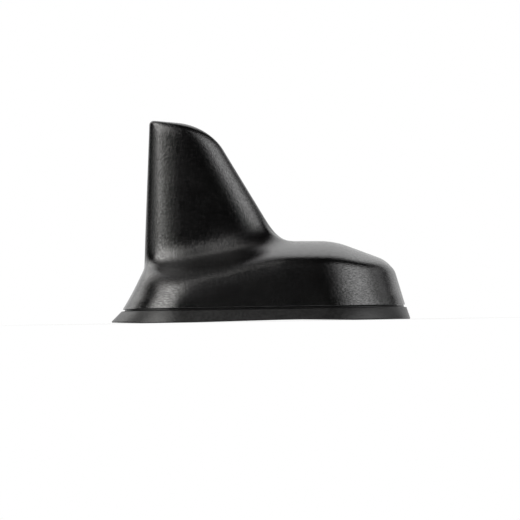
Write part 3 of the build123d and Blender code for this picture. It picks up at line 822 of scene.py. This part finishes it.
def maths(operation, first, second):
    """The result of one sum on two numbers or outputs."""
    made = add_node("ShaderNodeMath", {"operation": operation})
    for socket, value in zip(made.inputs, (first, second)):
        feed(socket, value)
    return made.outputs["Value"]


print("screw tree inputs:", len(SCREW_SIZES) + 2)

# %% [markdown]
# ## One screw
#
# A screw stands with its shank up, as the cover's screws do, and its head hangs below. The head is
# a cone with a hexagon drive cut into it. The shank is a thinner core with a ridge wound round it
# on a spiral, which shows a real thread and costs only a few hundred faces.

# %% Head, drive, shank and thread
HEAD_SIDES, DRIVE_SIDES, CORE_SIDES, TURN_STEPS, RIDGE_SIDES = 32, 6, 20, 14, 4
HEAD_TAPER, CORE_SHARE, THREAD_PATH, THREAD_SECTION = 0.92, 0.8, 0.85, 0.14
head_r, head_h, drive_r, drive_d, shank_r, shank_l, pitch = (given[s] for s in SCREW_SIZES)


def lowered(mesh, drop):
    """The mesh moved down."""
    shift = add_node("ShaderNodeCombineXYZ", Z=maths("MULTIPLY", drop, -1.0))
    moved = add_node("GeometryNodeTransform", Geometry=mesh, Translation=shift.outputs["Vector"])
    return moved.outputs["Geometry"]


def screw_head():
    """A tapered head with its hexagon drive."""
    head = add_node("GeometryNodeMeshCone", Vertices=HEAD_SIDES, Radius_Top=head_r, Depth=head_h,
                    Radius_Bottom=maths("MULTIPLY", head_r, HEAD_TAPER))
    drive = add_node("GeometryNodeMeshCone", Vertices=DRIVE_SIDES, Radius_Top=drive_r,
                     Radius_Bottom=drive_r, Depth=maths("ADD", drive_d, head_h))
    drive_drop = maths("MULTIPLY", head_h, 2.0)
    cut = add_node("GeometryNodeMeshBoolean", {"operation": "DIFFERENCE"})
    screws.links.new(lowered(head.outputs["Mesh"], head_h), cut.inputs["Mesh 1"])
    screws.links.new(lowered(drive.outputs["Mesh"], drive_drop), cut.inputs["Mesh 2"])
    return cut.outputs["Mesh"]


def screw_shank():
    """The thread and the core that it is wound round."""
    core_r = maths("MULTIPLY", shank_r, CORE_SHARE)
    core = add_node("GeometryNodeMeshCone", Vertices=CORE_SIDES, Radius_Top=core_r,
                    Radius_Bottom=core_r, Depth=shank_l)
    path_r = maths("MULTIPLY", shank_r, THREAD_PATH)
    path = add_node("GeometryNodeCurveSpiral", Resolution=TURN_STEPS, Height=shank_l,
                    Rotations=maths("DIVIDE", shank_l, pitch), Start_Radius=path_r, End_Radius=path_r)
    ridge = add_node("GeometryNodeCurvePrimitiveCircle", Resolution=RIDGE_SIDES,
                     Radius=maths("MULTIPLY", shank_r, THREAD_SECTION))
    thread = add_node("GeometryNodeCurveToMesh", Curve=path.outputs["Curve"],
                      Profile_Curve=ridge.outputs["Curve"], Fill_Caps=True)
    return thread.outputs["Mesh"], core.outputs["Mesh"]


screw_parts = (*screw_shank(), screw_head())
print("nodes for one screw:", len(screws.nodes))

# %% [markdown]
# ## A screw on every place
#
# The parts are joined, shaded smooth but for their sharp edges, and set on each given point.
# Realize Instances makes them plain mesh, because the export drops instances, and Set Material
# gives them their finish.

# %% Stand a screw on each place
SHARP_ANGLE = 0.7
joined = add_node("GeometryNodeJoinGeometry")
for screw_part in screw_parts:
    screws.links.new(screw_part, joined.inputs["Geometry"])
smooth = add_node("GeometryNodeSetShadeSmooth", Geometry=joined.outputs["Geometry"])
fold = add_node("GeometryNodeInputMeshEdgeAngle")
sharp = maths("GREATER_THAN", fold.outputs["Unsigned Angle"], SHARP_ANGLE)
edged = add_node("GeometryNodeSetShadeSmooth", {"domain": "EDGE"}, Geometry=smooth.outputs["Geometry"],
                 Selection=sharp, Shade_Smooth=False)
spots = add_node("GeometryNodeInstanceOnPoints", Points=given["Places"],
                 Instance=edged.outputs["Geometry"])
real = add_node("GeometryNodeRealizeInstances", Geometry=spots.outputs["Instances"])
dressed = add_node("GeometryNodeSetMaterial", Geometry=real.outputs["Geometry"], Material=given["Finish"])
result = screws.nodes.new("NodeGroupOutput")
screws.links.new(dressed.outputs["Geometry"], result.inputs["Screws"])
print("screw tree nodes:", len(screws.nodes))

# %% [markdown]
# ## Both sets in place
#
# The tree runs as a modifier on a mesh of bare points, one for each seat, and its result is kept
# as a plain mesh. The board's screws point the other way, so they are made at mirrored places and
# then the whole set is turned over.

# %% Place both sets of screws
COVER_PLACES = [(38.5, 8.5, 4.0), (38.5, -8.5, 4.0), (-36.0, 14.0, 4.0), (-36.0, -14.0, 4.0)]
COVER_SIZES = (2.8, 2.0, 1.5, 1.1, 1.5, 10.0, 1.1)
BOARD_PLACES = [(x, y, 7.6) for x in (-24.0, 6.0) for y in (-17.0, 17.0)]
BOARD_SIZES = (2.3, 1.6, 1.2, 0.9, 1.25, 6.5, 0.9)


def screw_set(name, node, places, sizes, turned):
    """A plain mesh of screws in place of a CAD node's screws. Places and sizes are in millimetres."""
    seats = [(x, -y, -z) if turned else (x, y, z) for x, y, z in places]
    points = bpy.data.meshes.new(name + "_places")
    points.from_pydata([[c * MM for c in seat] for seat in seats], [], [])
    holder = bpy.data.objects.new(name + "_holder", points)
    bpy.context.scene.collection.objects.link(holder)
    modifier = holder.modifiers.new("screws", "NODES")
    modifier.node_group = screws
    finish = finishes["screw_steel"]
    values = dict(zip(SCREW_SIZES, [s * MM for s in sizes]), Finish=finish)
    for item in screws.interface.items_tree:
        if item.in_out == "INPUT" and item.name in values:
            modifier[item.identifier] = values[item.name]
    ready = bpy.context.evaluated_depsgraph_get()
    mesh = bpy.data.meshes.new_from_object(holder.evaluated_get(ready), depsgraph=ready)
    bpy.data.objects.remove(holder)
    if turned:
        mesh.transform(Matrix.Rotation(math.pi, 4, "X"))
    piece = bpy.data.objects.new(name, mesh)
    bpy.context.scene.collection.objects.link(piece)
    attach(piece, BODY)
    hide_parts(node)
    dress(piece, finish)
    mesh.polygons.foreach_set("material_index", [0] * len(mesh.polygons))
    print(name, "faces:", len(mesh.polygons))


screw_set("hood_fixings", "cover_screws", COVER_PLACES, COVER_SIZES, False)
screw_set("board_fixings", "board_screws", BOARD_PLACES, BOARD_SIZES, True)

# %% [markdown]
# ## Floor and backdrop
#
# Black satin shows its surroundings more than its colour, so the studio matters as much as the
# finish. One pale sheet makes the floor and sweeps up behind the part, with no corner to reflect.
# It ends just in front of the part, because the camera's side has to stay dark.

# %% Floor and backdrop in one sweep
STAGE_HALF_WIDTH = 4.0
STAGE_FRONT, STAGE_BACK = -0.16, 3.0
STAGE_HEIGHT = 6.0
STAGE_DROP = 0.05 * MM
SWEEP_RADIUS = 0.8
SWEEP_STEPS = 16


def stage_sheet():
    """A floor that sweeps up into a backdrop behind the part."""
    profile = [(STAGE_FRONT, 0.0)]
    for k in range(SWEEP_STEPS + 1):
        turn = math.pi / 2 * k / SWEEP_STEPS
        y = STAGE_BACK - SWEEP_RADIUS + SWEEP_RADIUS * math.sin(turn)
        profile.append((y, SWEEP_RADIUS * (1 - math.cos(turn))))
    profile.append((STAGE_BACK, STAGE_HEIGHT))
    sides = (-STAGE_HALF_WIDTH, STAGE_HALF_WIDTH)
    points = [(x, y, z - STAGE_DROP) for y, z in profile for x in sides]
    faces = [(2 * k, 2 * k + 1, 2 * k + 3, 2 * k + 2) for k in range(len(profile) - 1)]
    return add_mesh_piece("studio_sweep", points, faces)


sweep = stage_sheet()
print("sweep faces:", len(sweep.data.polygons))

# %% [markdown]
# ## White paper
#
# The background is white to the camera and to reflections, by a glow of strength 1, while other
# rays meet plain paper. Lighting the paper up to white would flood the part. Near the part some
# of the paper shows through the glow, which keeps the shadow. In reflections a painted shade dims
# the glow towards the backdrop's top, where a real one gets less light, so that the hood's shoulder
# turns from light to dark softly.

# %% White paper for the sweep
PAPER_COLOUR, PAPER_ROUGHNESS = (0.8, 0.8, 0.8, 1), 0.9
FLOOR_GLOW = 0.75
SHADOW_NEAR, SHADOW_FAR = 0.08, 0.16
# Heights in metres over which a painted shade fades the backdrop's glow out in reflections.
TOP_SHADE_LOW, TOP_SHADE_HIGH = 3.0, 6.0


def pair(nodes, links, operation, first, second):
    """One sum on two outputs."""
    made = nodes.new("ShaderNodeMath")
    made.operation = operation
    links.new(first, made.inputs[0])
    links.new(second, made.inputs[1])
    return made.outputs["Value"]


def white_sweep():
    """White paper that glows to the eye. In reflections a painted shade dims its glow towards the top."""
    material, nodes, links, shader = new_finish("white sweep")
    shader.inputs["Base Color"].default_value = PAPER_COLOUR
    shader.inputs["Roughness"].default_value = PAPER_ROUGHNESS
    ray = nodes.new("ShaderNodeLightPath").outputs
    # Painted shade: in reflections the backdrop's glow fades out towards its top.
    painted_top_shade = spread(nodes, links, object_height(nodes, links), TOP_SHADE_LOW, TOP_SHADE_HIGH, 1, 0)
    glow = nodes.new("ShaderNodeEmission")
    links.new(pair(nodes, links, "MAXIMUM", ray["Is Camera Ray"], painted_top_shade), glow.inputs["Strength"])
    place = nodes.new("ShaderNodeTexCoord")
    reach = nodes.new("ShaderNodeVectorMath")
    reach.operation = "LENGTH"
    links.new(place.outputs["Object"], reach.inputs[0])
    far = spread(nodes, links, reach.outputs["Value"], SHADOW_NEAR, SHADOW_FAR, FLOOR_GLOW, 1)
    seen = pair(nodes, links, "MAXIMUM", ray["Is Camera Ray"], ray["Is Glossy Ray"])
    seen = pair(nodes, links, "MAXIMUM", seen, ray["Is Transmission Ray"])
    mix = nodes.new("ShaderNodeMixShader")
    links.new(pair(nodes, links, "MULTIPLY", seen, far), mix.inputs["Fac"])
    links.new(shader.outputs["BSDF"], mix.inputs[1])
    links.new(glow.outputs["Emission"], mix.inputs[2])
    links.new(mix.outputs["Shader"], nodes["Material Output"].inputs["Surface"])
    return material


dress(sweep, white_sweep())
print("sweep finish nodes:", len(sweep.data.materials[0].node_tree.nodes))

# %% [markdown]
# ## The room
#
# Past the edges of the sweep the camera sees the world, so it is white to the camera alone. To all
# other rays it is nearly dark: a bright world would fill the flanks with grey.

# %% World
WORLD_FILL = 0.01


def studio_world():
    """A dim room that is white to the camera alone, so every view has a pale background."""
    world = bpy.data.worlds.new("studio")
    bpy.context.scene.world = world
    world.use_nodes = True
    nodes, links = world.node_tree.nodes, world.node_tree.links
    path = nodes.new("ShaderNodeLightPath")
    level = nodes.new("ShaderNodeMapRange")
    level.inputs["To Min"].default_value = WORLD_FILL
    links.new(path.outputs["Is Camera Ray"], level.inputs["Value"])
    links.new(level.outputs["Result"], nodes["Background"].inputs["Strength"])
    nodes["Background"].inputs["Color"].default_value = (1, 1, 1, 1)


studio_world()
print("light from the room:", WORLD_FILL)

# %% [markdown]
# ## A softbox that fades
#
# A softbox is brightest at its middle and fades to its cloth rim, and satin shows that fade as the
# soft ends of its highlights. Blender's area light is even all over with a hard edge, so a few
# nodes on the lamp dim it from a core outwards. Brightness is given as radiance, which is what a
# reflection shows whatever the size of the lamp.

# %% A lamp that fades to its rim
AIM = Vector((0.0, 0.0, 30 * MM))


def fade_to_rim(lamp, core):
    """Lets a lamp's face fade from full brightness inside its core to nothing at its rim."""
    lamp.use_nodes = True
    nodes, links = lamp.node_tree.nodes, lamp.node_tree.links
    face = nodes.new("ShaderNodeNewGeometry")
    centred = nodes.new("ShaderNodeVectorMath")
    centred.operation = "MULTIPLY_ADD"
    centred.inputs[1].default_value = (2, 2, 0)
    centred.inputs[2].default_value = (-1, -1, 0)
    square = nodes.new("ShaderNodeVectorMath")
    square.operation = "MULTIPLY"
    length = nodes.new("ShaderNodeVectorMath")
    length.operation = "LENGTH"
    radius = nodes.new("ShaderNodeMath")
    radius.operation = "SQRT"
    fade = nodes.new("ShaderNodeMapRange")
    fade.interpolation_type = "SMOOTHSTEP"
    fade.inputs["From Min"].default_value = core
    fade.inputs["To Min"].default_value = 1
    fade.inputs["To Max"].default_value = 0
    links.new(face.outputs["Parametric"], centred.inputs[0])
    links.new(centred.outputs["Vector"], square.inputs[0])
    links.new(centred.outputs["Vector"], square.inputs[1])
    links.new(square.outputs["Vector"], length.inputs[0])
    links.new(length.outputs["Value"], radius.inputs[0])
    links.new(radius.outputs["Value"], fade.inputs["Value"])
    links.new(fade.outputs["Result"], nodes["Emission"].inputs["Strength"])


def soft_light(name, azimuth, elevation, distance, size, core, radiance, colour=(1, 1, 1), lean=0):
    """A softbox that faces the part. Azimuth is from the camera's side, positive to its right."""
    a, e = math.radians(azimuth), math.radians(elevation)
    away = Vector((math.sin(a) * math.cos(e), -math.cos(a) * math.cos(e), math.sin(e)))
    lamp = bpy.data.lights.new(name, "AREA")
    lamp.shape = "RECTANGLE"
    lamp.size, lamp.size_y = size
    lamp.energy = radiance * math.pi * size[0] * size[1]
    lamp.color = colour
    fade_to_rim(lamp, core)
    light = bpy.data.objects.new(name, lamp)
    light.location = AIM + away * distance
    facing = away.to_track_quat("Z", "Y").to_matrix()
    light.rotation_euler = (facing @ Matrix.Rotation(math.radians(lean), 3, "Z")).to_euler()
    light.visible_camera = False
    bpy.context.scene.collection.objects.link(light)
    print(name, "at", azimuth, "and", elevation, "degrees, radiance", radiance)


print("lamps aim at a height in mm of", round(AIM.z / MM, 1))

# %% [markdown]
# ## The lights
#
# Each highlight on the part is the picture of one lamp. A leaning softbox on the left, with a low
# strip and a wing beside it, lights the fin's rear band, its foot and the hood's rear corner. One
# on the right lights the fin's front band and the nose. Small ones behind and above draw the edges
# and the hood's top. The camera's side has only a faint fill, which leaves the flanks deep black.
# Fewer, larger lamps would be simpler, but they would grey the flanks.

# %% Set the lights
WARM = (1.0, 0.99, 0.965)
soft_light("rear_key", -47, 33, 0.9, (0.78, 1.05), 0.6, 4.4, WARM, 37)
soft_light("rear_low", -57, 9, 0.9, (1.3, 0.5), 0.15, 1.05, WARM)
soft_light("rear_wing", -70, 62, 0.9, (0.9, 0.8), 0.0, 1.8, WARM)
soft_light("side_fill", -16, 38, 0.9, (0.8, 0.75), 0.0, 0.22)
soft_light("front_key", 60, 28, 0.9, (1.05, 0.8), 0.2, 3.1)
soft_light("rear_edge", -132, 38, 1.1, (0.8, 1.0), 0.3, 1.4, WARM)
soft_light("back_edge", 166, 40, 1.4, (1.6, 1.0), 0.2, 0.4)
soft_light("overhead", 172, 60, 1.2, (1.5, 0.85), 0.0, 1.2)
soft_light("front_fill", 100, 24, 1.0, (0.7, 0.6), 0.2, 0.9)

# %% [markdown]
# ## The camera
#
# The aerial is seen square from its side by a long lens, so the camera stands far off with a
# narrow view. Its lens follows from the size of a pixel on the part, which keeps the framing tied
# to millimetres. A slight roll matches the way the part lies in the picture.

# %% Camera
PHOTO_PIXELS = 520
PIXEL = 0.3727 * MM
CAMERA_DISTANCE = 3.0
CAMERA_RISE = math.radians(-0.37)
CAMERA_ROLL = math.radians(0.92)
LOOK_AT = Vector((0.39 * MM, 0.0, 22.85 * MM))
SENSOR = 36.0
CLIP_END = 50


def studio_camera():
    """A long lens on the part's side, with the photograph's slight roll."""
    lens = bpy.data.cameras.new("side_view")
    lens.sensor_width = SENSOR
    lens.lens = SENSOR * CAMERA_DISTANCE / (PHOTO_PIXELS * PIXEL)
    lens.clip_end = CLIP_END
    camera = bpy.data.objects.new("side_view", lens)
    back = Vector((0.0, -math.cos(CAMERA_RISE), math.sin(CAMERA_RISE)))
    level = back.to_track_quat("Z", "Y").to_matrix()
    turn = level @ Matrix.Rotation(-CAMERA_ROLL, 3, "Z")
    camera.matrix_world = Matrix.Translation(LOOK_AT + back * CAMERA_DISTANCE) @ turn.to_4x4()
    bpy.context.scene.collection.objects.link(camera)
    bpy.context.scene.camera = camera
    return lens


view_lens = studio_camera()
bpy.context.scene.view_settings.view_transform = "Standard"
print("lens in mm:", round(view_lens.lens))
